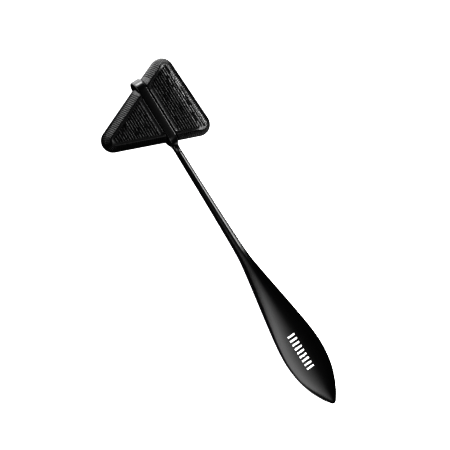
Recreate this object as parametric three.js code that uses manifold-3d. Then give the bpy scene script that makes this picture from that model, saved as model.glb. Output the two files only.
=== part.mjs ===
// Reflex hammer: a triangular rubber head held in a metal loop, on a slim handle that widens into a leaf-shaped
// grip with a pointed end. Units are millimetres.
//
// Every piece is made in the hammer's own frame: +X runs along the handle towards the head, +Y to the head's
// pointed striking end, +Z out of the head's face. Its origin is on the handle's axis, in the middle of the head.
// At the end the whole hammer is moved so that the head lies flat on its back with Z = 0 under it.
import * as THREE from 'three';
import { mergeVertices } from 'three/addons/utils/BufferGeometryUtils.js';
import Module from 'manifold-3d';

const wasm = await Module();
wasm.setup();

// ---- driving dimensions ----
const gap = 0.3; // clearance between pieces that touch

const head = {
  // Corners of the triangle where its sides would meet, seen on the face.
  corners: [[25.9, -20.4], [0.9, 41.3], [-24.5, -22.4]],
  cornerRadius: 6,
  thickness: 13,
  sideBulge: 2.7, // the sides swell this far beyond the flat faces
};

const loop = {
  top: 20, // outside of the loop, along the handle
  bottom: -18.2,
  thickness: 12.4, // outside, front to back
  metal: 1.7,
  width: 4.8,
  topRadius: 5.6,
  bottomRadius: 5.8,
};

const collar = {
  end: -21.6,
  socketDepth: 3.4,
  // Distance along the handle, half width and half thickness.
  stations: [[-21.6, 1.75, 1.7], [-20.4, 1.85, 2.0], [-19, 2.0, 2.7], [-16.9, 2.1, 4.0]],
};

const tang = { radius: 0.9, length: 3.2 };

const handle = {
  tip: -174.3,
  // Distance from the tip, half width and half thickness.
  stations: [
    [0, 0.5, 0.45], [4.4, 4.0, 1.15], [10.5, 7.1, 1.6], [16.6, 9.25, 1.85], [23, 10.55, 2.0], [31.5, 11.15, 2.15],
    [41, 10.5, 2.3], [53, 8.75, 2.45], [65.3, 6.75, 2.45], [77.5, 4.75, 2.35], [89.5, 3.05, 2.2], [105, 2.45, 2.0],
    [126, 2.05, 1.85], [152.4, 1.75, 1.7],
  ],
};

// ---- materials ----
const rubber = new THREE.MeshStandardMaterial({ color: 0x101011, roughness: 0.6, metalness: 0.0 });
const blackPaint = new THREE.MeshStandardMaterial({ color: 0x0a0a0b, roughness: 0.32, metalness: 0.0 });

// ---- solids ----
function solidOf(geometry) {
  const bare = geometry.index ? geometry.toNonIndexed() : geometry.clone();
  bare.deleteAttribute('normal');
  bare.deleteAttribute('uv');
  const merged = mergeVertices(bare, 1e-4);
  return new wasm.Manifold(new wasm.Mesh({
    numProp: 3,
    vertProperties: new Float32Array(merged.attributes.position.array),
    triVerts: new Uint32Array(merged.index.array),
  }));
}

function geometryOf(solid) {
  const mesh = solid.getMesh();
  const geometry = new THREE.BufferGeometry();
  geometry.setAttribute('position', new THREE.BufferAttribute(new Float32Array(mesh.vertProperties), 3));
  geometry.setIndex(new THREE.BufferAttribute(new Uint32Array(mesh.triVerts), 1));
  geometry.computeVertexNormals();
  return geometry;
}

function meshOf(name, geometry, material) {
  const mesh = new THREE.Mesh(geometry, material);
  mesh.name = name;
  return mesh;
}

// ---- outlines ----
// A polygon, counter-clockwise or clockwise, with an arc of its own radius at each corner.
function roundedPolygon(corners, radii) {
  const points = corners.map(([x, y]) => new THREE.Vector2(x, y));
  const turn = THREE.ShapeUtils.area(points) > 0 ? 1 : -1;
  const path = new THREE.Shape();
  points.forEach((corner, i) => {
    const back = points.at(i - 1).clone().sub(corner).normalize();
    const on = points[(i + 1) % points.length].clone().sub(corner).normalize();
    const halfAngle = back.angleTo(on) / 2;
    const centre = back.clone().add(on).setLength(radii[i] / Math.sin(halfAngle)).add(corner);
    const reach = radii[i] / Math.tan(halfAngle);
    const from = back.multiplyScalar(reach).add(corner).sub(centre);
    const to = on.multiplyScalar(reach).add(corner).sub(centre);
    path.absarc(centre.x, centre.y, radii[i], from.angle(), to.angle(), turn < 0);
  });
  path.closePath();
  return path;
}

// The loop's outline seen from the head's pointed end, taken in by inset on every side:
// X along the handle, Y front to back.
function loopOutline(inset) {
  const top = loop.top - inset;
  const bottom = loop.bottom + inset;
  const side = loop.thickness / 2 - inset;
  const upper = Math.max(loop.topRadius - inset, 1);
  const lower = Math.max(loop.bottomRadius - inset, 1);
  return roundedPolygon(
    [[bottom, -side], [top, -side], [top, side], [bottom, side]],
    [lower, upper, upper, lower],
  );
}

// An outline in the X-Z plane made into a bar across the head, width long and centred on the handle.
function barAcross(outline, width, curveSegments) {
  return new THREE.ExtrudeGeometry(outline, { depth: width, bevelEnabled: false, curveSegments })
    .rotateX(Math.PI / 2)
    .translate(0, width / 2, 0);
}

// A solid of rounded cross-sections along +X, from stations of [x, half width, half thickness].
// squareness 2 is an ellipse, and more than 2 squares its corners.
function loft(stations, rings, around, squareness) {
  const profile = new THREE.CatmullRomCurve3(stations.map((s) => new THREE.Vector3(...s)), false, 'centripetal');
  const sections = profile.getPoints(rings);
  const geometry = new THREE.CylinderGeometry(1, 1, 1, around, rings);
  const position = geometry.attributes.position;
  const swell = (value) => Math.sign(value) * Math.abs(value) ** (2 / squareness);
  for (let i = 0; i < position.count; i += 1) {
    const ring = Math.round((position.getY(i) + 0.5) * rings);
    const { x, y: halfWidth, z: halfThickness } = sections[ring];
    const onAxis = Math.hypot(position.getX(i), position.getZ(i)) < 0.5;
    const across = onAxis ? 0 : halfWidth * swell(position.getZ(i));
    const up = onAxis ? 0 : halfThickness * swell(position.getX(i));
    position.setXYZ(i, x, across, up);
  }
  return geometry;
}

// ---- rubber head: a swollen triangle with a channel all round its middle for the loop ----
function rubberHead() {
  const outline = roundedPolygon(head.corners, [head.cornerRadius, head.cornerRadius, head.cornerRadius]);
  const waist = 0.6; // straight band halfway between the faces
  const swell = (head.thickness - waist) / 2;
  const block = new THREE.ExtrudeGeometry(outline, {
    depth: waist,
    bevelThickness: swell,
    bevelSize: head.sideBulge,
    bevelOffset: -head.sideBulge,
    bevelSegments: 6,
    curveSegments: 10,
  }).translate(0, 0, -waist / 2);
  const channelWidth = loop.width + 2 * gap;
  const far = 60;
  const slab = new THREE.BoxGeometry(far, channelWidth, far);
  const core = barAcross(loopOutline(loop.metal + gap), channelWidth + 1, 6);
  const channel = solidOf(slab).subtract(solidOf(core));
  return geometryOf(solidOf(block).subtract(channel));
}

// ---- loop: a closed metal band round the head's middle, with a collar that takes the handle's tang ----
function headLoop() {
  const ring = loopOutline(0);
  ring.holes.push(loopOutline(loop.metal));
  const band = solidOf(barAcross(ring, loop.width, 6));
  const boss = solidOf(loft(collar.stations, 8, 24, 3));
  const inside = solidOf(barAcross(loopOutline(loop.metal), loop.width + 2, 6));
  const socket = new THREE.CylinderGeometry(tang.radius + gap, tang.radius + gap, 2 * collar.socketDepth, 16)
    .rotateZ(Math.PI / 2)
    .translate(collar.end, 0, 0);
  return geometryOf(band.add(boss.subtract(inside)).subtract(solidOf(socket)));
}

// ---- handle: the round-edged stem and the leaf-shaped grip, with a tang that sits in the loop's collar ----
function handleBar() {
  const shoulder = collar.end - gap;
  const stations = handle.stations.map(([fromTip, width, depth]) => [handle.tip + fromTip, width, depth]);
  const top = stations.at(-1);
  top[0] = shoulder;
  const bar = solidOf(loft(stations, 52, 24, 2.3));
  const pin = new THREE.CylinderGeometry(tang.radius, tang.radius, 2 * tang.length, 16)
    .rotateZ(Math.PI / 2)
    .translate(shoulder, 0, 0);
  return geometryOf(bar.add(solidOf(pin)));
}

const hammer = new THREE.Group();
hammer.add(
  meshOf('rubber_head', rubberHead(), rubber),
  meshOf('head_loop', headLoop(), blackPaint),
  meshOf('handle', handleBar(), blackPaint),
);
const extent = new THREE.Box3().setFromObject(hammer, true);
const middle = extent.getCenter(new THREE.Vector3());
hammer.position.set(-middle.x, -middle.y, -extent.min.z);

export default hammer;
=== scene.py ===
"""Reflex hammer: a ribbed, triangular rubber head in a metal loop, on a slim handle with a leaf-shaped grip."""
import math

import bmesh
import bpy
from mathutils import Matrix, Quaternion, Vector, noise


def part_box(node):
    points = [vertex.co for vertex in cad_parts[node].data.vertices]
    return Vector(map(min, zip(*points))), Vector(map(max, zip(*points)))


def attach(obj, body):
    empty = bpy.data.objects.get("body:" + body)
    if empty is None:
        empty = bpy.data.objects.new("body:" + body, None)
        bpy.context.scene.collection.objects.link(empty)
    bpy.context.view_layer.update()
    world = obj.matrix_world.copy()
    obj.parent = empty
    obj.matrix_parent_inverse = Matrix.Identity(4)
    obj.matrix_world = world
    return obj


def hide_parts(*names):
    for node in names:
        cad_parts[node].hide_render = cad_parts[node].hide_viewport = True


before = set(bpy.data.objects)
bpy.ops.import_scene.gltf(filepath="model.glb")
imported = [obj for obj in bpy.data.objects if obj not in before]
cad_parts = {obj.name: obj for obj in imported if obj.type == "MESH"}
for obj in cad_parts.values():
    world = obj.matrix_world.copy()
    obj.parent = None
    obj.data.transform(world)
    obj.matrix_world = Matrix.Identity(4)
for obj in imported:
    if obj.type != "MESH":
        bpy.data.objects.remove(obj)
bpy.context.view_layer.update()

bl_info = {
    "name": "Reflex Hammer",
    "version": (1, 0, 0),
    "blender": (4, 5, 0),
    "location": "View3D > Sidebar > Hammer",
    "description": "Builds the rubber head, the metal loop, the handle and the studio of a reflex hammer",
    "category": "Add Mesh",
}

MM = 0.001

# Shapes are drawn in the hammer's own frame: X along the handle to the head, Y to the head's point, Z out of its
# face, from the middle of the head on the handle's axis.
LOOP_LOW, LOOP_HIGH = (Vector(corner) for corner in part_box("head_loop"))
LOOP_TOP = 20 * MM
HAMMER_ORIGIN = Vector((LOOP_HIGH.x - LOOP_TOP, (LOOP_LOW.y + LOOP_HIGH.y) / 2, (LOOP_LOW.z + LOOP_HIGH.z) / 2))

HEAD_CORNERS = ((25.9, -20.4), (0.9, 41.3), (-24.5, -22.4))
# How far in from the widest line, and how high above it, the wall of the head runs up to the rim of its face.
HEAD_WALL = (
    (0.04, 1.2), (0.18, 2.1), (0.47, 3.0), (0.92, 3.85), (1.55, 4.7), (2.2, 5.45), (2.7, 6.0), (3.0, 6.3), (3.3, 6.5),
)
COLLAR_STATIONS = (
    (-21.85, 1.72, 1.67), (-20.4, 1.7, 1.75), (-19.0, 1.75, 2.1), (-17.2, 1.8, 3.1),
)
HANDLE_STATIONS = (
    (0, 0.3, 0.25), (0.4, 1.15, 0.55), (1.5, 2.0, 0.85), (4.4, 4.0, 1.15), (10.5, 7.1, 1.6), (16.6, 9.25, 1.85),
    (23, 10.55, 2.0), (31.5, 11.15, 2.15), (41, 10.5, 2.3), (53, 8.75, 2.45), (65.3, 6.75, 2.45), (77.5, 4.75, 2.35),
    (89.5, 3.05, 2.2), (105, 2.45, 2.0), (126, 2.05, 1.85), (152.2, 1.75, 1.7), (152.4, 1.65, 1.6),
)
HANDLE_TIP = -174.3
BAND_BOTTOM = -18.2 * MM
BAND_RADIUS_TOP, BAND_RADIUS_BOTTOM = 5.6 * MM, 5.8 * MM

# The finishes of the head's faces, in the order of its materials. The groove finish is a dull rubber as painted
# shade, and the shinier finishes of the long side's strip and of one lip are painted highlights.
SMOOTH, RIB, GROOVE, HIGHLIGHT_RIB, HIGHLIGHT_LIP = range(5)

# Each side of the channel has a rounded edge and a flat lip, and then a slope down to the ribbed panel.
LIP_ROUNDING, LIP_WIDTH, LIP_SLOPE = 0.35 * MM, 0.4 * MM, 1.45 * MM

# The head's face falls away towards its long side, and a strip along that side gets a shinier rubber as a painted
# highlight.
FALL_START, FALL_END, FALL = -9 * MM, -22 * MM, 0.25
HIGHLIGHT_START, HIGHLIGHT_END = -13.5 * MM, -20 * MM

# How bright the pale ground looks to the camera.
GROUND = 0.97

# The middle of the picture, its width, and the slant of the handle in it.
VIEW_CENTRE, VIEW_WIDTH = Vector((-65.5, -0.5, 0)) * MM, 226.6 * MM
HANDLE_SLANT = (-0.5275, 0.8496)


# ---------------------------------------------------------------- settings


class HeadSettings(bpy.types.PropertyGroup):
    corner_radius: bpy.props.FloatProperty(
        name="Corner radius", description="Radius of the head's rounded corners", default=6 * MM, unit="LENGTH")
    rim_width: bpy.props.FloatProperty(
        name="Rim width", description="Smooth rim round each face", default=1.1 * MM, unit="LENGTH")
    panel_depth: bpy.props.FloatProperty(
        name="Panel depth", description="How far the ribbed panel lies below the rim", default=0.45 * MM,
        unit="LENGTH")
    channel_width: bpy.props.FloatProperty(
        name="Channel width", description="Width of the channel that holds the loop", default=5.1 * MM, unit="LENGTH")
    channel_depth: bpy.props.FloatProperty(
        name="Channel depth", description="Depth of the channel below the face", default=2.2 * MM, unit="LENGTH")
    face_pitch: bpy.props.FloatProperty(
        name="Face rib pitch", description="From one rib of the face to the next", default=1.25 * MM, unit="LENGTH")
    face_relief: bpy.props.FloatProperty(
        name="Face rib height", description="Height of the ribs of the face", default=0.42 * MM, unit="LENGTH")
    wall_pitch: bpy.props.FloatProperty(
        name="Wall rib pitch", description="From one rib of the wall to the next", default=1.05 * MM, unit="LENGTH")
    wall_relief: bpy.props.FloatProperty(
        name="Wall rib depth", description="Depth of the grooves of the wall", default=0.24 * MM, unit="LENGTH")
    rubber_colour: bpy.props.FloatVectorProperty(
        name="Rubber colour", description="Colour of the rubber", default=(0.0035, 0.0035, 0.0037), size=3,
        subtype="COLOR", min=0, max=1)


class LoopSettings(bpy.types.PropertyGroup):
    width: bpy.props.FloatProperty(
        name="Width", description="Width of the band", default=4.8 * MM, unit="LENGTH")
    metal: bpy.props.FloatProperty(
        name="Metal", description="Thickness of the band's metal", default=1.7 * MM, unit="LENGTH")
    edge: bpy.props.FloatProperty(
        name="Edge", description="Rounding of the band's outer edges", default=0.7 * MM, unit="LENGTH")


class HandleSettings(bpy.types.PropertyGroup):
    paint_colour: bpy.props.FloatVectorProperty(
        name="Paint colour", description="Colour of the coating", default=(0.002, 0.002, 0.0021), size=3,
        subtype="COLOR", min=0, max=1)
    mark_colour: bpy.props.FloatVectorProperty(
        name="Mark colour", description="Colour of the printed bars on the grip", default=(0.9, 0.9, 0.9), size=3,
        subtype="COLOR", min=0, max=1)


class StudioSettings(bpy.types.PropertyGroup):
    view_direction: bpy.props.FloatVectorProperty(
        name="View direction", description="From the hammer to the camera", default=(0.165, 0.24, 0.955), size=3,
        subtype="DIRECTION")
    view_distance: bpy.props.FloatProperty(
        name="View distance", description="From the hammer to the camera", default=0.9, unit="LENGTH")
    floor_colour: bpy.props.FloatVectorProperty(
        name="Floor colour", description="Colour of the floor", default=(0.95, 0.95, 0.95), size=3,
        subtype="COLOR", min=0, max=1)


# ---------------------------------------------------------------- shaping


def ramp(value, start, length):
    """0 up to the start, and 1 from one length past it."""
    return min(max((value - start) / length, 0), 1)


def sweep_vert(bm, vert, steps, **movement):
    """The vertex draws a line or an arc in equal steps, and the last vertex is returned."""
    settings = {"cent": (0, 0, 0), "axis": (0, 0, 1), "angle": 0.0, **movement}
    swept = bmesh.ops.spin(bm, geom=[vert], steps=steps, **settings)
    return next(item for item in swept["geom_last"] if isinstance(item, bmesh.types.BMVert))


def rounded_outline(bm, corners, radii, steps, divide=lambda start, end: [(end, 1)]):
    """A flat face in the XY plane with an arc at each corner, facing +Z. Its sides can be divided."""
    count = len(corners)
    points = [Vector((x, y, 0)) for x, y in corners]
    ends = []
    for i, corner in enumerate(points):
        back = (points[i - 1] - corner).normalized()
        on = (points[(i + 1) % count] - corner).normalized()
        half_angle = back.angle(on) / 2
        centre = corner + (back + on).normalized() * radii[i] / math.sin(half_angle)
        start = bm.verts.new(corner + back * radii[i] / math.tan(half_angle))
        ends.append((start, sweep_vert(bm, start, steps, cent=centre, angle=math.pi - 2 * half_angle)))
    for i in range(count):
        vert = ends[i][1]
        for point, parts in divide(vert.co.copy(), ends[(i + 1) % count][0].co.copy()):
            vert = sweep_vert(bm, vert, parts, dvec=(point - vert.co) / parts)
    bmesh.ops.remove_doubles(bm, verts=bm.verts[:], dist=1e-6)
    face = bmesh.ops.contextual_create(bm, geom=bm.edges[:])["faces"][0]
    bm.normal_update()
    if face.normal.z < 0:
        face.normal_flip()
    return face


def inset(bm, face, thickness, depth):
    """The face is taken in and raised, and the ring of faces left round it is returned."""
    return bmesh.ops.inset_region(
        bm, faces=[face], thickness=thickness, depth=depth, use_boundary=True, use_even_offset=True)["faces"]


def everything(bm):
    return bm.verts[:] + bm.edges[:] + bm.faces[:]


def edges_on_plane(bm, y):
    return [edge for edge in bm.edges if all(abs(vert.co.y - y) < 1e-6 for vert in edge.verts)]


def smooth_station(stations, distance):
    """Half width and half thickness at a distance, on a smooth curve through the stations."""
    last = len(stations) - 1
    i = max(k for k in range(last) if stations[k][0] <= distance or k == 0)
    before, low, high, after = (stations[min(max(k, 0), last)] for k in range(i - 1, i + 3))
    span = high[0] - low[0]
    t = (distance - low[0]) / span
    values = []
    for axis in (1, 2):
        slope_low = (high[axis] - before[axis]) / (high[0] - before[0])
        slope_high = (after[axis] - low[axis]) / (after[0] - low[0])
        values.append(
            (2 * t ** 3 - 3 * t ** 2 + 1) * low[axis] + (t ** 3 - 2 * t ** 2 + t) * span * slope_low
            + (3 * t ** 2 - 2 * t ** 3) * high[axis] + (t ** 3 - t ** 2) * span * slope_high)
    return values


def loft(bm, stations, distances, around, squareness):
    """A closed bar along +X, with rounded cross-sections at the given distances. Sizes are in millimetres."""
    ring = bmesh.ops.create_circle(
        bm, cap_ends=True, radius=1, segments=around,
        matrix=Matrix.Rotation(math.pi / 2, 4, "Y"))["verts"]
    face = ring[0].link_faces[0]
    angles = [math.atan2(vert.co.z, vert.co.y) for vert in ring]

    def swell(value):
        return math.copysign(abs(value) ** (2 / squareness), value)

    def shape(verts, distance):
        half_width, half_thickness = smooth_station(stations, distance)
        for vert, angle in zip(verts, angles):
            vert.co = Vector((
                distance, half_width * swell(math.cos(angle)), half_thickness * swell(math.sin(angle)))) * MM

    shape(ring, distances[0])
    angles = [angles[ring.index(vert)] for vert in face.verts]
    for distance in distances[1:]:
        face = bmesh.ops.extrude_discrete_faces(bm, faces=[face])["faces"][0]
        shape(face.verts, distance)
    bmesh.ops.holes_fill(bm, edges=[edge for edge in bm.edges if edge.is_boundary], sides=0)
    bmesh.ops.recalc_face_normals(bm, faces=bm.faces[:])


def piece_of(name, bm, materials, node):
    """A finished piece that stands for a node of the frame."""
    bmesh.ops.translate(bm, vec=HAMMER_ORIGIN, verts=bm.verts[:])
    for face in bm.faces:
        face.smooth = True
    mesh = bpy.data.meshes.new(name)
    bm.to_mesh(mesh)
    bm.free()
    for material in materials:
        mesh.materials.append(material)
    piece = bpy.data.objects.new(name, mesh)
    bpy.context.scene.collection.objects.link(piece)
    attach(piece, "root")
    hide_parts(node)


# ---------------------------------------------------------------- finishes


def add_node(tree, kind, inputs=None, **settings):
    made = tree.nodes.new(kind)
    for key, value in settings.items():
        setattr(made, key, value)
    for key, value in (inputs or {}).items():
        if isinstance(value, bpy.types.NodeSocket):
            tree.links.new(value, made.inputs[key])
        else:
            made.inputs[key].default_value = value
    return made


def maths(tree, operation, first, second=0.0, clamp=False):
    return add_node(
        tree, "ShaderNodeMath", {0: first, 1: second}, operation=operation, use_clamp=clamp).outputs[0]


def fade(tree, value, start, end):
    """0 at the start and before it, and 1 at the end and past it."""
    return add_node(tree, "ShaderNodeMapRange", {
        "Value": value, "From Min": start, "From Max": end}, interpolation_type="SMOOTHSTEP").outputs[0]


def new_group(name, inputs, outputs):
    group = bpy.data.node_groups.new(name, "ShaderNodeTree")
    for label, kind, default in inputs:
        socket = group.interface.new_socket(name=label, in_out="INPUT", socket_type=kind)
        if default is not None:
            socket.default_value = default
    for label, kind in outputs:
        group.interface.new_socket(name=label, in_out="OUTPUT", socket_type=kind)
    return group, group.nodes.new("NodeGroupInput"), group.nodes.new("NodeGroupOutput")


def streak_group():
    """Short streaks that run along X of the pattern, where the moulding is rougher."""
    name = "moulding streaks"
    if name in bpy.data.node_groups:
        return bpy.data.node_groups[name]
    group, given, made = new_group(
        name,
        [("Pattern", "NodeSocketVector", None), ("Low", "NodeSocketFloat", 0.38),
         ("High", "NodeSocketFloat", 0.6)],
        [("Streak", "NodeSocketFloat")])
    fine = add_node(group, "ShaderNodeMapping", {
        "Vector": given.outputs["Pattern"], "Scale": (320, 1100, 1100)}).outputs[0]
    cloud = add_node(
        group, "ShaderNodeTexNoise", {"Vector": fine, "Scale": 1.0, "Detail": 3.0, "Roughness": 0.6}).outputs[0]
    streak = add_node(group, "ShaderNodeMapRange", {
        "Value": cloud, "From Min": given.outputs["Low"], "From Max": given.outputs["High"]}).outputs[0]
    group.links.new(streak, made.inputs["Streak"])
    return group


def mottle_group():
    """Slow and fine unevenness of a surface: a value round 0.5, and a fine height."""
    name = "surface mottle"
    if name in bpy.data.node_groups:
        return bpy.data.node_groups[name]
    group, given, made = new_group(
        name,
        [("Pattern", "NodeSocketVector", None), ("Blotch size", "NodeSocketFloat", 60.0),
         ("Grain size", "NodeSocketFloat", 2500.0)],
        [("Blotch", "NodeSocketFloat"), ("Grain", "NodeSocketFloat")])
    for socket, label, detail in (("Blotch", "Blotch size", 4.0), ("Grain", "Grain size", 2.0)):
        cloud = add_node(group, "ShaderNodeTexNoise", {
            "Vector": given.outputs["Pattern"], "Scale": given.outputs[label], "Detail": detail})
        group.links.new(cloud.outputs[0], made.inputs[socket])
    return group


def new_material(name):
    material = bpy.data.materials.new(name)
    material.use_nodes = True
    tree = material.node_tree
    tree.nodes.clear()
    shader = tree.nodes.new("ShaderNodeBsdfPrincipled")
    output = tree.nodes.new("ShaderNodeOutputMaterial")
    tree.links.new(shader.outputs[0], output.inputs["Surface"])
    return material, tree, shader


def tint(colour, factor):
    return (*(min(value * factor, 1) for value in colour), 1)


def rubber_material(name, colour, ribbed, shine):
    """Black rubber with a fine grain. Ribbed rubber is darkened and dull in its grooves as painted shade, and streaky
    on its ribs.
    """
    material, tree, shader = new_material(name)
    coordinates = add_node(tree, "ShaderNodeTexCoord").outputs["Object"]
    mottle = add_node(tree, "ShaderNodeGroup", {}, node_tree=mottle_group())
    tree.links.new(coordinates, mottle.inputs["Pattern"])
    normal = add_node(tree, "ShaderNodeBump", {
        "Height": mottle.outputs["Grain"], "Strength": 0.35, "Distance": 0.06 * MM}).outputs[0]
    wear_and_groove_shade = mottle.outputs["Blotch"]
    if ribbed:
        streak = add_node(tree, "ShaderNodeGroup", {}, node_tree=streak_group())
        tree.links.new(coordinates, streak.inputs["Pattern"])
        groove = add_node(tree, "ShaderNodeAttribute", attribute_name="groove").outputs["Fac"]
        crest = maths(tree, "SUBTRACT", 1.0, groove, clamp=True)
        wear_and_groove_shade = maths(tree, "MULTIPLY", crest, maths(tree, "ADD", streak.outputs["Streak"], 0.15), clamp=True)
        normal = add_node(tree, "ShaderNodeBump", {
            "Height": streak.outputs["Streak"], "Strength": 0.8, "Distance": 0.1 * MM,
            "Normal": normal}).outputs[0]
    tree.links.new(normal, shader.inputs["Normal"])
    # Grooves take the dark end of the colour as painted shade. The ribs' lighter streaks are wear, and elsewhere the
    # tone varies at random.
    shade = add_node(tree, "ShaderNodeMix", {
        0: wear_and_groove_shade, 6: tint(colour, 0.4), 7: tint(colour, 2.2)}, data_type="RGBA", clamp_factor=True)
    tree.links.new(shade.outputs[2], shader.inputs["Base Color"])
    rough = add_node(tree, "ShaderNodeMapRange", {"Value": wear_and_groove_shade, "To Min": 0.4, "To Max": 0.2})
    tree.links.new(rough.outputs[0], shader.inputs["Roughness"])
    shader.inputs["Specular IOR Level"].default_value = shine
    return material


def mark_group():
    """A row of plain printed bars, inside a window of the pattern. X runs along the row."""
    name = "printed bars"
    if name in bpy.data.node_groups:
        return bpy.data.node_groups[name]
    group, given, made = new_group(
        name,
        [("Pattern", "NodeSocketVector", None), ("Pitch", "NodeSocketFloat", 2.4 * MM),
         ("Bar", "NodeSocketFloat", 0.42), ("Row length", "NodeSocketFloat", 21.8 * MM),
         ("Row height", "NodeSocketFloat", 4.2 * MM)],
        [("Mask", "NodeSocketFloat")])
    parts = add_node(group, "ShaderNodeSeparateXYZ", {0: given.outputs["Pattern"]})
    across = maths(group, "FRACT", maths(group, "DIVIDE", parts.outputs[0], given.outputs["Pitch"]))
    bar = maths(group, "LESS_THAN", across, given.outputs["Bar"])
    half_row = maths(group, "MULTIPLY", given.outputs["Row length"], 0.5)
    half_height = maths(group, "MULTIPLY", given.outputs["Row height"], 0.5)
    in_row = maths(group, "LESS_THAN", maths(group, "ABSOLUTE", parts.outputs[0]), half_row)
    in_height = maths(group, "LESS_THAN", maths(group, "ABSOLUTE", parts.outputs[1]), half_height)
    front = maths(group, "GREATER_THAN", parts.outputs[2], 0.0)
    barred = maths(group, "MULTIPLY", bar, in_row)
    mask = maths(group, "MULTIPLY", barred, maths(group, "MULTIPLY", in_height, front))
    group.links.new(mask, made.inputs["Mask"])
    return group


def paint_material(name, colour, roughness, mark_colour=None):
    """A smooth satin coating, with the printed bars where it has them."""
    material, tree, shader = new_material(name)
    coordinates = add_node(tree, "ShaderNodeTexCoord").outputs["Object"]
    mottle = add_node(tree, "ShaderNodeGroup", {}, node_tree=mottle_group())
    tree.links.new(coordinates, mottle.inputs["Pattern"])
    mottle.inputs["Grain size"].default_value = 1600.0
    peel = add_node(
        tree, "ShaderNodeBump", {"Height": mottle.outputs["Grain"], "Strength": 0.25, "Distance": 0.015 * MM})
    tree.links.new(peel.outputs[0], shader.inputs["Normal"])
    shade = add_node(tree, "ShaderNodeMix", {
        0: mottle.outputs["Blotch"], 6: tint(colour, 0.7), 7: tint(colour, 1.4)}, data_type="RGBA").outputs[2]
    rough = add_node(tree, "ShaderNodeMapRange", {
        "Value": mottle.outputs["Blotch"], "To Min": roughness - 0.03, "To Max": roughness + 0.03}).outputs[0]
    if mark_colour is not None:
        place = HAMMER_ORIGIN + Vector((HANDLE_TIP + 32.6, 1.3, 0)) * MM
        local = add_node(tree, "ShaderNodeVectorMath", {0: coordinates, 1: place}, operation="SUBTRACT")
        mark = add_node(tree, "ShaderNodeGroup", {}, node_tree=mark_group())
        tree.links.new(local.outputs[0], mark.inputs["Pattern"])
        shade = add_node(tree, "ShaderNodeMix", {
            0: mark.outputs["Mask"], 6: shade, 7: (*mark_colour, 1)}, data_type="RGBA").outputs[2]
        rough = add_node(tree, "ShaderNodeMix", {
            0: mark.outputs["Mask"], 2: rough, 3: 0.5}, data_type="FLOAT").outputs[0]
    tree.links.new(shade, shader.inputs["Base Color"])
    tree.links.new(rough, shader.inputs["Roughness"])
    return material


# ---------------------------------------------------------------- pieces


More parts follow.
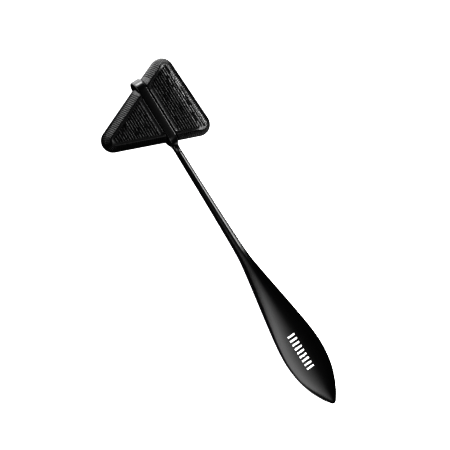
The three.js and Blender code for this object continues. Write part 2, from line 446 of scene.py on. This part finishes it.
class HAMMER_OT_head(bpy.types.Operator):
    """Build the ribbed rubber head, with its channel for the loop"""

    bl_idname = "hammer.head"
    bl_label = "Rubber Head"

    def execute(self, context):
        settings = context.scene.hammer_head
        self.lip = settings.channel_width / 2 + LIP_WIDTH
        self.clear = self.lip + LIP_SLOPE
        bm = bmesh.new()
        self.groove = bm.verts.layers.float.new("groove")
        corners = [(x * MM, y * MM) for x, y in HEAD_CORNERS]
        spacing = settings.wall_pitch / 4
        corner_turn = 2.1
        face = rounded_outline(
            bm, corners, [settings.corner_radius] * 3, round(corner_turn * settings.corner_radius / spacing),
            divide=lambda start, end: self.divide_side(start, end, spacing))
        self.raise_half(bm, face, settings)
        self.round_base(bm)
        bmesh.ops.mirror(bm, geom=everything(bm), matrix=Matrix.Identity(4), merge_dist=1e-6, axis="Z")
        bmesh.ops.remove_doubles(bm, verts=bm.verts[:], dist=1e-7)
        bmesh.ops.recalc_face_normals(bm, faces=bm.faces[:])
        self.cut_channel(bm, settings)
        self.finish_faces(bm)
        colour = settings.rubber_colour
        piece_of("ribbed_rubber_head", bm, [
            rubber_material("smooth rubber", colour, ribbed=False, shine=0.3),
            rubber_material("polished rib rubber", colour, ribbed=True, shine=0.35),
            # A dull rubber for the grooves, which dims their reflection as painted shade.
            rubber_material("painted shade groove rubber", colour, ribbed=True, shine=0.05),
            rubber_material("painted highlight rib rubber", colour, ribbed=True, shine=0.85),
            rubber_material("painted highlight lip rubber", colour, ribbed=False, shine=0.7),
        ], "rubber_head")
        return {"FINISHED"}

    def finish_faces(self, bm):
        """The grooves get a dull rubber as painted shade, and the level parts along the head's long side get a
        shinier rubber as a painted highlight.
        """
        for face in bm.faces:
            depth = sum(vert[self.groove] for vert in face.verts) / len(face.verts)
            in_strip = HIGHLIGHT_END < face.calc_center_median().y < HIGHLIGHT_START
            if face.material_index == RIB and depth > 0.5:
                face.material_index = GROOVE
            elif in_strip and abs(face.normal.z) > 0.88:
                face.material_index = HIGHLIGHT_RIB

    def divide_side(self, start, end, spacing):
        """Points along a straight side for the ribs of the wall, none of them close to the channel."""
        points = [start, end]
        for y in (-self.clear, self.clear):
            if (start.y - y) * (end.y - y) < 0:
                points.insert(-1, start.lerp(end, (y - start.y) / (end.y - start.y)))
        points.sort(key=lambda point: (point - start).length)
        stops = []
        for low, high in zip(points, points[1:]):
            over_channel = abs(low.y + high.y) / 2 < self.clear
            stops.append((high, 1 if over_channel else max(round((high - low).length / spacing), 1)))
        return stops

    def raise_half(self, bm, face, settings):
        """The front half: the ribbed wall, then the smooth rim, then the sunk and ribbed panel."""
        outline = list(face.verts)
        for i, vert in enumerate(outline):
            near_channel = abs(abs(vert.co.y) - self.clear) < 1e-6
            vert[self.groove] = 0 if near_channel else (0, 0.5, 1, 0.5)[i % 4]
        rings = [outline]
        inward, height = 0, 0
        for step_in, step_up in HEAD_WALL:
            ring = inset(bm, face, step_in * MM - inward, step_up * MM - height)
            for wall in ring:
                wall.material_index = RIB
            rings.append(list(face.verts))
            inward, height = step_in * MM, step_up * MM
        face.material_index = SMOOTH
        inset(bm, face, settings.rim_width, 0)
        rim = list(face.verts)
        inset(bm, face, 0.6 * settings.panel_depth, -settings.panel_depth)
        border = list(face.verts)
        face.material_index = RIB
        panel = inset(bm, face, 0.35 * MM, 0) + [face]
        # The rim is narrower along the head's long side.
        inner = {vert for ring in panel for vert in ring.verts} | set(rim)
        for vert in inner:
            vert.co.y -= 0.8 * MM * ramp(-vert.co.y, 13 * MM, 1.5 * MM)
        self.groove_wall(bm, rings, settings.wall_relief)
        self.rib_panel(bm, panel, border, settings)

    def groove_wall(self, bm, rings, depth):
        """Every fourth line of vertices is sunk to make a groove that fades out under the rim."""
        bm.normal_update()
        for k, ring in enumerate(rings):
            strength = min((len(rings) - 1 - k) / 2, 1)
            for vert in ring:
                inwards = -vert.normal
                if k == 0:
                    inwards.z = 0
                vert.co += inwards.normalized() * depth * strength * vert[self.groove]
                vert[self.groove] *= strength

    def rib_panel(self, bm, panel, border, settings):
        """Ribs that run the handle's way, uneven along their length, up to the slopes beside the channel."""
        geometry = set(panel)
        for face in panel:
            geometry.update(face.verts)
            geometry.update(face.edges)
        xs = [vert.co.x for vert in border]
        ys = [vert.co.y for vert in border]
        pitch = settings.face_pitch
        across, along = (0, 1, 0), (1, 0, 0)
        cuts = []
        for side in (1, -1):
            reach = max(side * y for y in ys)
            cuts.append(((0, side * self.lip, 0), across))
            for i in range(int((reach - self.clear) / (pitch / 4)) + 1):
                cuts.append(((0, side * (self.clear + i * pitch / 4), 0), across))
        step = 1.7 * MM
        for i in range(1, int((max(xs) - min(xs)) / step) + 1):
            cuts.append(((min(xs) + i * step, 0, 0), along))
        for place, normal in cuts:
            geometry = bmesh.ops.bisect_plane(
                bm, geom=list(geometry), dist=1e-7, plane_co=place, plane_no=normal)["geom"]
        inside = {item for item in geometry if isinstance(item, bmesh.types.BMVert)}
        ribbed = {item for item in geometry if isinstance(item, bmesh.types.BMFace)}
        edge_verts = {vert for vert in inside if any(face not in ribbed for face in vert.link_faces)}
        base = HEAD_WALL[-1][1] * MM - settings.panel_depth
        for vert in inside:
            past = (abs(vert.co.y) - self.clear) / pitch
            wave = 0.5 - 0.5 * math.cos(2 * math.pi * past) if past > 0 else 0
            uneven = 0.8 + 0.45 * noise.noise(Vector((vert.co.x * 260, vert.co.y * 900, 3.7)))
            crest = wave * uneven
            slope = ramp(self.clear - abs(vert.co.y), 0, self.clear - self.lip)
            vert.co.z = base + settings.panel_depth * slope
            if vert not in edge_verts:
                vert.co.z += settings.face_relief * crest * (1 - 0.6 * self.near_base(vert.co.y))
            vert[self.groove] = 1 - min(max(crest, 0), 1) if past > 0 else 0
        # Towards the head's long side the rim comes down to the panel, but not below the panel's ribs.
        for vert in bm.verts:
            vert.co.z = min(vert.co.z, base + settings.panel_depth * (1 - self.near_base(vert.co.y))
                            + settings.face_relief * (vert in inside))
        for face in ribbed:
            y = face.calc_center_median().y
            if abs(y) < self.clear:
                # The lip on the head's long side gets a shinier rubber than the other lip, as a painted highlight.
                face.material_index = HIGHLIGHT_LIP if y < 0 else SMOOTH

    @staticmethod
    def near_base(y):
        """From 0 over most of the face to 1 along the head's long side."""
        return ramp(-y, 12 * MM, 5 * MM)

    @staticmethod
    def round_base(bm):
        """The face falls away gently towards the head's long side."""
        cuts = 10
        for i in range(cuts):
            y = FALL_START + (FALL_END - FALL_START) * i / cuts
            bmesh.ops.bisect_plane(bm, geom=everything(bm), dist=1e-7, plane_co=(0, y, 0), plane_no=(0, 1, 0))
        for vert in bm.verts:
            if vert.co.y < FALL_START:
                vert.co.z *= 1 - FALL * ((vert.co.y - FALL_START) / (FALL_END - FALL_START)) ** 2

    @staticmethod
    def cut_channel(bm, settings):
        """The part of the head under the band is cut down to a core, and the channel's edges are rounded."""
        half = settings.channel_width / 2
        for side in (1, -1):
            bmesh.ops.bisect_plane(
                bm, geom=everything(bm), dist=1e-7, plane_co=(0, side * half, 0), plane_no=(0, 1, 0))
        between = [face for face in bm.faces if abs(face.calc_center_median().y) < half]
        bmesh.ops.delete(bm, geom=between, context="FACES")
        rims, inner = [], []
        for side in (1, -1):
            rim = edges_on_plane(bm, side * half)
            wall = bmesh.ops.contextual_create(bm, geom=rim)["faces"][0]
            wall.material_index = SMOOTH
            wall.normal_update()
            if wall.normal.y * side > 0:
                wall.normal_flip()
            for ring in inset(bm, wall, settings.channel_depth, 0):
                ring.material_index = SMOOTH
            inner.extend(wall.edges)
            rims.extend(rim)
            bmesh.ops.delete(bm, geom=[wall], context="FACES_ONLY")
        core = bmesh.ops.bridge_loops(bm, edges=inner)["faces"]
        for face in core:
            face.material_index = SMOOTH
        bmesh.ops.bevel(
            bm, geom=rims, offset=LIP_ROUNDING, offset_type="OFFSET", segments=3, profile=0.5, affect="EDGES",
            clamp_overlap=False, material=-1)
        top = HEAD_WALL[-1][1] * MM
        for vert in bm.verts:
            vert.co.z = min(max(vert.co.z, -top), top)
        bmesh.ops.recalc_face_normals(bm, faces=bm.faces[:])


class HAMMER_OT_loop(bpy.types.Operator):
    """Build the metal loop round the head, and the collar that carries it"""

    bl_idname = "hammer.loop"
    bl_label = "Head Loop"

    def execute(self, context):
        settings = context.scene.hammer_loop
        band = bmesh.new()
        side = (LOOP_HIGH.z - LOOP_LOW.z) / 2
        face = rounded_outline(
            band, [(BAND_BOTTOM, -side), (LOOP_TOP, -side), (LOOP_TOP, side), (BAND_BOTTOM, side)],
            [BAND_RADIUS_BOTTOM, BAND_RADIUS_TOP, BAND_RADIUS_TOP, BAND_RADIUS_BOTTOM], steps=14)
        raised = bmesh.ops.extrude_face_region(band, geom=[face])["geom"]
        top_verts = [item for item in raised if isinstance(item, bmesh.types.BMVert)]
        top = next(item for item in raised if isinstance(item, bmesh.types.BMFace))
        bmesh.ops.translate(band, vec=(0, 0, settings.width), verts=top_verts)
        bmesh.ops.recalc_face_normals(band, faces=band.faces[:])
        outer = list(face.edges) + list(top.edges)
        inner = []
        for end in (face, top):
            inset(band, end, settings.metal, 0)
            inner.extend(end.edges)
        bmesh.ops.delete(band, geom=[face, top], context="FACES_ONLY")
        bmesh.ops.bridge_loops(band, edges=inner)
        bmesh.ops.bevel(
            band, geom=outer, offset=settings.edge, offset_type="OFFSET", segments=6, profile=0.5,
            affect="EDGES", clamp_overlap=False, material=-1)
        bmesh.ops.translate(band, vec=(0, 0, -settings.width / 2), verts=band.verts[:])
        # The band narrows smoothly towards the collar.
        for vert in band.verts:
            narrowing = ramp(-vert.co.x, 12 * MM, 6 * MM)
            vert.co.z *= 1 - 0.26 * narrowing * narrowing * (3 - 2 * narrowing)
        bmesh.ops.rotate(band, cent=(0, 0, 0), matrix=Matrix.Rotation(math.pi / 2, 3, "X"), verts=band.verts[:])
        bmesh.ops.recalc_face_normals(band, faces=band.faces[:])
        collar = bmesh.new()
        low, high = COLLAR_STATIONS[0][0], COLLAR_STATIONS[-1][0]
        distances = [low + (high - low) * i / 20 for i in range(21)]
        loft(collar, COLLAR_STATIONS, distances, around=48, squareness=2.6)
        collar_mesh = bpy.data.meshes.new("collar")
        collar.to_mesh(collar_mesh)
        collar.free()
        band.from_mesh(collar_mesh)
        bpy.data.meshes.remove(collar_mesh)
        paint = paint_material("loop paint", context.scene.hammer_handle.paint_colour, roughness=0.26)
        piece_of("head_band", band, [paint], "head_loop")
        return {"FINISHED"}


class HAMMER_OT_handle(bpy.types.Operator):
    """Build the handle: the slim stem and the leaf-shaped grip"""

    bl_idname = "hammer.handle"
    bl_label = "Handle"

    def execute(self, context):
        settings = context.scene.hammer_handle
        bm = bmesh.new()
        end = HANDLE_STATIONS[-1][0]
        # Close together at the pointed tip and at the end of the stem, and even in between.
        distances = [0, 0.15, 0.4, 0.8, 1.5, 2.2, 3.2]
        distances += [4.4 + (end - 0.3 - 4.4) * i / 110 for i in range(111)]
        distances += [end - 0.15, end]
        loft(bm, HANDLE_STATIONS, distances, around=64, squareness=2.0)
        bmesh.ops.translate(bm, vec=(HANDLE_TIP * MM, 0, 0), verts=bm.verts[:])
        paint = paint_material("handle paint", settings.paint_colour, 0.19, settings.mark_colour)
        piece_of("handle_bar", bm, [paint], "handle")
        return {"FINISHED"}


# ---------------------------------------------------------------- studio


def softbox(name, place, aim, size, power, fade_to=0.0, spread=180):
    """An area light aimed from a place near the hammer. It can fade in over part of its height."""
    light = bpy.data.lights.new(name, "AREA")
    light.shape = "RECTANGLE"
    light.size, light.size_y = size
    light.energy = power
    light.spread = math.radians(spread)
    if fade_to:
        light.use_nodes = True
        tree = light.node_tree
        height = add_node(tree, "ShaderNodeSeparateXYZ", {
            0: add_node(tree, "ShaderNodeNewGeometry").outputs["Parametric"]}).outputs[1]
        glow = add_node(tree, "ShaderNodeMapRange", {"Value": height, "From Max": fade_to}).outputs[0]
        tree.links.new(glow, tree.nodes["Emission"].inputs["Strength"])
    lamp = bpy.data.objects.new(name, light)
    lamp.location = HAMMER_ORIGIN + Vector(place)
    lamp.rotation_euler = (Vector(aim) - Vector(place)).to_track_quat("-Z", "Y").to_euler()
    lamp.visible_camera = False
    bpy.context.scene.collection.objects.link(lamp)


class HAMMER_OT_studio(bpy.types.Operator):
    """Set up the pale floor, the soft lights and the camera"""

    bl_idname = "hammer.studio"
    bl_label = "Studio"

    def execute(self, context):
        settings = context.scene.hammer_studio
        scene = context.scene
        scene.view_settings.view_transform = "Standard"
        scene.view_settings.look = "High Contrast"
        self.floor(settings)
        self.flag()
        self.lights()
        self.surroundings(scene)
        self.camera(scene, settings)
        return {"FINISHED"}

    @staticmethod
    def floor(settings):
        """Pale to the camera. To reflections it is dark, with a pool of light beyond the head and by the stem."""
        bm = bmesh.new()
        bmesh.ops.create_grid(bm, x_segments=1, y_segments=1, size=4)
        mesh = bpy.data.meshes.new("floor")
        bm.to_mesh(mesh)
        bm.free()
        floor = bpy.data.objects.new("floor", mesh)
        bpy.context.scene.collection.objects.link(floor)
        material, tree, shader = new_material("pale floor")
        shader.inputs["Roughness"].default_value = 0.9
        shader.inputs["Specular IOR Level"].default_value = 0.0
        shader.inputs["Emission Color"].default_value = (1, 1, 1, 1)
        mesh.materials.append(material)
        place = add_node(tree, "ShaderNodeVectorMath", {
            0: add_node(tree, "ShaderNodeTexCoord").outputs["Object"], 1: HAMMER_ORIGIN}, operation="SUBTRACT")
        along, across, _ = add_node(tree, "ShaderNodeSeparateXYZ", {0: place.outputs[0]}).outputs
        beyond_head = fade(tree, along, 0.018, 0.035)
        beside_stem = maths(
            tree, "MULTIPLY", fade(tree, across, 0.0, -0.006),
            maths(tree, "MULTIPLY", fade(tree, along, -0.085, -0.05), fade(tree, along, -0.026, -0.034)))
        pools = maths(
            tree, "ADD", maths(tree, "MULTIPLY", beyond_head, 4.0), maths(tree, "MULTIPLY", beside_stem, 1.0))
        seen = add_node(tree, "ShaderNodeLightPath").outputs["Is Camera Ray"]
        base = add_node(tree, "ShaderNodeMix", {
            0: seen, 6: (0.05, 0.05, 0.05, 1), 7: (*settings.floor_colour, 1)}, data_type="RGBA").outputs[2]
        tree.links.new(base, shader.inputs["Base Color"])
        glow = add_node(tree, "ShaderNodeMix", {0: seen, 2: pools, 3: GROUND}, data_type="FLOAT").outputs[0]
        tree.links.new(glow, shader.inputs["Emission Strength"])

    @staticmethod
    def flag():
        """A black card that keeps the light from the side off the grip."""
        bm = bmesh.new()
        low = HAMMER_ORIGIN + Vector((-0.19, -0.03, 0))
        high = HAMMER_ORIGIN + Vector((-0.086, -0.03, 0.05))
        edge = [bm.verts.new((x, low.y, 0)) for x in (low.x, high.x)]
        side = bm.edges.new(edge)
        raised = bmesh.ops.extrude_edge_only(bm, edges=[side])["geom"]
        bmesh.ops.translate(
            bm, vec=(0, 0, high.z), verts=[item for item in raised if isinstance(item, bmesh.types.BMVert)])
        mesh = bpy.data.meshes.new("flag")
        bm.to_mesh(mesh)
        bm.free()
        material, tree, shader = new_material("black card")
        shader.inputs["Base Color"].default_value = (0.002, 0.002, 0.002, 1)
        shader.inputs["Roughness"].default_value = 1.0
        shader.inputs["Specular IOR Level"].default_value = 0.0
        mesh.materials.append(material)
        card = bpy.data.objects.new("flag", mesh)
        card.visible_camera = False
        bpy.context.scene.collection.objects.link(card)

    @staticmethod
    def lights():
        softbox("left softbox", (-0.318, 0.115, 0.5), (-0.318, 0.115, 0), (0.265, 0.53), 1.6, fade_to=0.45)
        softbox("right softbox", (-0.18, -0.6, 0.2), (-0.18, 0, 0.2), (0.16, 0.38), 0.38)
        softbox("rib softbox", (-0.1, -0.5, 0.28), (-0.02, 0, 0), (0.12, 0.4), 0.28)
        softbox("face softbox", (-0.097, -0.393, 0.444), (0, -0.018, 0), (0.2, 0.17), 1.7)
        softbox("wall softbox", (0.585, 0.133, 0.075), (0, 0, 0.02), (0.3, 0.15), 0.75)
        softbox("top softbox", (0.55, -0.13, 0.12), (0, 0, 0.01), (0.24, 0.18), 2.2)
        softbox("far softbox", (-0.5, 0.5, 0.15), (-0.05, 0, 0), (0.36, 0.24), 0.7)
        softbox("near softbox", (0.48, -0.48, 0.19), (-0.03, 0, 0), (0.36, 0.24), 0.6)
        softbox("grip light", (0.1, 0, 0.35), (-0.14, 0, 0), (0.06, 0.06), 0.05, spread=24)

    @staticmethod
    def surroundings(scene):
        """Pale to the camera, and a faint fill light otherwise."""
        world = bpy.data.worlds.new("studio")
        world.use_nodes = True
        scene.world = world
        tree = world.node_tree
        tree.nodes.clear()
        seen = add_node(tree, "ShaderNodeBackground", {"Color": (1, 1, 1, 1), "Strength": GROUND})
        fill = add_node(tree, "ShaderNodeBackground", {"Color": (1, 1, 1, 1), "Strength": 0.035})
        path = add_node(tree, "ShaderNodeLightPath")
        mixed = add_node(tree, "ShaderNodeMixShader", {
            0: path.outputs["Is Camera Ray"], 1: fill.outputs[0], 2: seen.outputs[0]})
        output = tree.nodes.new("ShaderNodeOutputWorld")
        tree.links.new(mixed.outputs[0], output.inputs["Surface"])

    @staticmethod
    def camera(scene, settings):
        """Looks down on the hammer and is rolled so that the handle slants down to the right."""
        data = bpy.data.cameras.new("camera")
        camera = bpy.data.objects.new("camera", data)
        scene.collection.objects.link(camera)
        back = Vector(settings.view_direction).normalized()
        along = Vector((1, 0, 0))
        along = (along - back * along.dot(back)).normalized()
        roll = math.atan2(HANDLE_SLANT[1], HANDLE_SLANT[0])
        right = Quaternion(back, -roll) @ along
        up = back.cross(right)
        target = HAMMER_ORIGIN + VIEW_CENTRE
        turn = Matrix((right, up, back)).transposed().to_4x4()
        camera.matrix_world = Matrix.Translation(target + back * settings.view_distance) @ turn
        data.sensor_width = 36
        data.lens = data.sensor_width * settings.view_distance / VIEW_WIDTH
        data.clip_start = 0.01
        data.dof.use_dof = False
        scene.camera = camera


# ---------------------------------------------------------------- add-on


class HAMMER_PT_panel(bpy.types.Panel):
    bl_idname = "HAMMER_PT_panel"
    bl_label = "Reflex Hammer"
    bl_space_type = "VIEW_3D"
    bl_region_type = "UI"
    bl_category = "Hammer"

    def draw(self, context):
        for operator, settings in BUILD_ORDER:
            box = self.layout.box()
            group = getattr(context.scene, settings)
            for key in group.__annotations__:
                box.prop(group, key)
            box.operator(operator.bl_idname)


BUILD_ORDER = (
    (HAMMER_OT_head, "hammer_head"),
    (HAMMER_OT_loop, "hammer_loop"),
    (HAMMER_OT_handle, "hammer_handle"),
    (HAMMER_OT_studio, "hammer_studio"),
)
SETTINGS = {
    "hammer_head": HeadSettings,
    "hammer_loop": LoopSettings,
    "hammer_handle": HandleSettings,
    "hammer_studio": StudioSettings,
}
CLASSES = (*SETTINGS.values(), *(operator for operator, _ in BUILD_ORDER), HAMMER_PT_panel)


def register():
    for item in CLASSES:
        bpy.utils.register_class(item)
    for key, group in SETTINGS.items():
        setattr(bpy.types.Scene, key, bpy.props.PointerProperty(type=group))


def unregister():
    for key in SETTINGS:
        delattr(bpy.types.Scene, key)
    for item in reversed(CLASSES):
        bpy.utils.unregister_class(item)


def main():
    register()
    bpy.ops.hammer.head()
    bpy.ops.hammer.loop()
    bpy.ops.hammer.handle()
    bpy.ops.hammer.studio()


if __name__ == "__main__":
    main()
